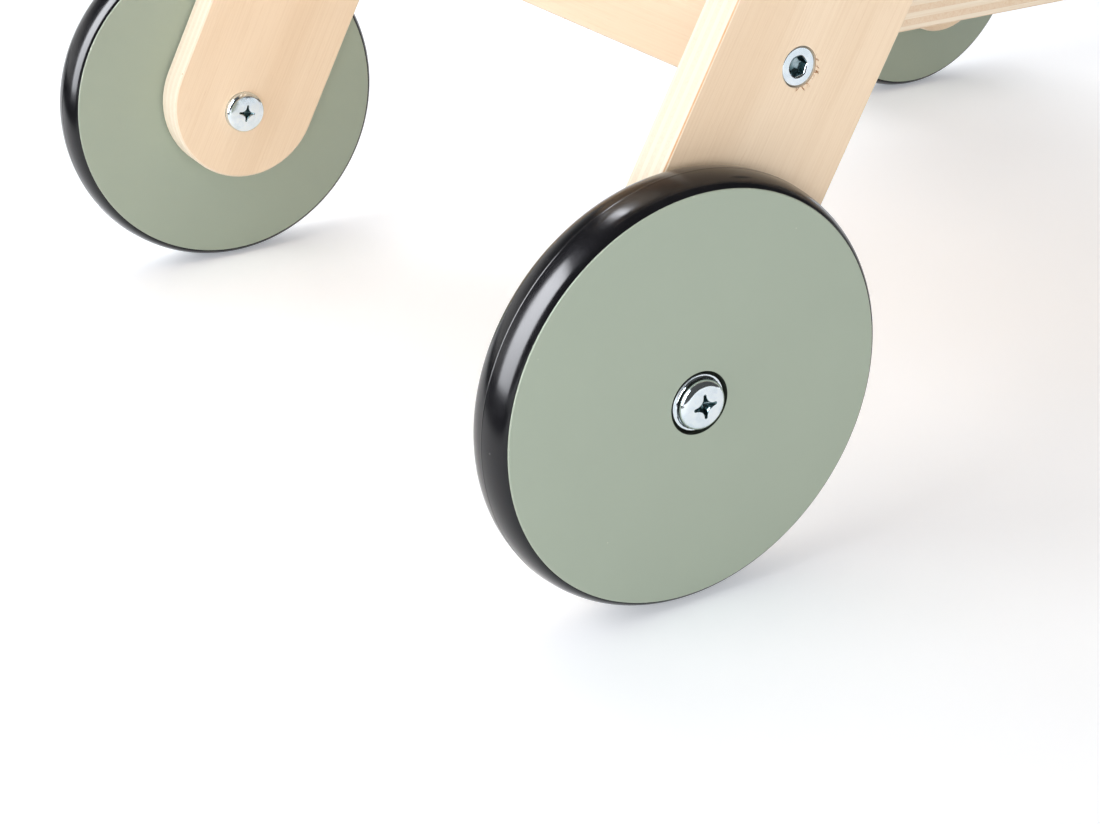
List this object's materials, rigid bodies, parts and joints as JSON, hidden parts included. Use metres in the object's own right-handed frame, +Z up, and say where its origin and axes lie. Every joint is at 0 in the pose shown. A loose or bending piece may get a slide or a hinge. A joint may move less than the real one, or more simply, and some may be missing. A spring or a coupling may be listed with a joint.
{
  "type": "wooden toy push cart",
  "caption": "Plywood toy push cart with crossed legs, an open tub, a lower shelf, a round handle bar and free-turning green wheels with black rubber tyres.",
  "frame": {"origin": "on the floor, under the middle of the cart's length and width", "axes": "+X the way the cart is pushed, +Y its left side, +Z up"},
  "size_m": [0.4944, 0.3614, 0.5725],
  "materials": {
    "birch_plywood": "pale clear-lacquered plywood with bare ply edges",
    "turned_beech": "turned wood, clear lacquer",
    "sage_paint": "matt sage-green paint on wood",
    "black_rubber": "smooth semi-gloss moulded rubber",
    "zinc_steel": "bright zinc plate",
    "white_nylon": "natural nylon"
  },
  "bodies": {
    "frame": {"rear_left_leg": "birch_plywood", "rear_right_leg": "birch_plywood", "handle_left_leg": "birch_plywood", "handle_right_leg": "birch_plywood", "rear_crossbar": "birch_plywood", "front_crossbar": "birch_plywood", "shelf_board": "birch_plywood", "shelf_dowels": "turned_beech", "tub_left_side": "birch_plywood", "tub_right_side": "birch_plywood", "tub_front_end": "birch_plywood", "tub_rear_end": "birch_plywood", "tub_floor": "birch_plywood", "tub_screws": "zinc_steel", "tub_short_bolts": "zinc_steel", "tub_long_bolts": "zinc_steel", "tub_sleeve_nuts": "zinc_steel", "tub_spacers": "turned_beech", "crossing_spacers": "turned_beech", "rear_crossbar_screws": "zinc_steel", "front_crossbar_screws": "zinc_steel", "handle_bar": "turned_beech", "handle_bar_screws": "zinc_steel", "rear_left_axle_sleeve": "zinc_steel", "rear_left_axle_screw": "zinc_steel", "rear_left_spacer_washer": "zinc_steel", "rear_right_axle_sleeve": "zinc_steel", "rear_right_axle_screw": "zinc_steel", "rear_right_spacer_washer": "zinc_steel", "front_left_axle_sleeve": "zinc_steel", "front_left_axle_screw": "zinc_steel", "front_left_spacer_washer": "zinc_steel", "front_right_axle_sleeve": "zinc_steel", "front_right_axle_screw": "zinc_steel", "front_right_spacer_washer": "zinc_steel"},
    "rear_left_wheel": {"rear_left_wheel_disc": "sage_paint", "rear_left_tyre": "black_rubber", "rear_left_hub_bush": "white_nylon"},
    "rear_right_wheel": {"rear_right_wheel_disc": "sage_paint", "rear_right_tyre": "black_rubber", "rear_right_hub_bush": "white_nylon"},
    "front_left_wheel": {"front_left_wheel_disc": "sage_paint", "front_left_tyre": "black_rubber", "front_left_hub_bush": "white_nylon"},
    "front_right_wheel": {"front_right_wheel_disc": "sage_paint", "front_right_tyre": "black_rubber", "front_right_hub_bush": "white_nylon"}
  },
  "joints": [
    {"name": "rear_left_wheel_spin", "type": "hinge", "parent": "frame", "child": "rear_left_wheel", "pos_m": [-0.16777, 0.146, 0.06], "axis": [0, 1, 0], "continuous": true},
    {"name": "rear_right_wheel_spin", "type": "hinge", "parent": "frame", "child": "rear_right_wheel", "pos_m": [-0.16777, -0.146, 0.06], "axis": [0, 1, 0], "continuous": true},
    {"name": "front_left_wheel_spin", "type": "hinge", "parent": "frame", "child": "front_left_wheel", "pos_m": [0.18723, 0.17, 0.06], "axis": [0, 1, 0], "continuous": true},
    {"name": "front_right_wheel_spin", "type": "hinge", "parent": "frame", "child": "front_right_wheel", "pos_m": [0.18723, -0.17, 0.06], "axis": [0, 1, 0], "continuous": true}
  ]
}
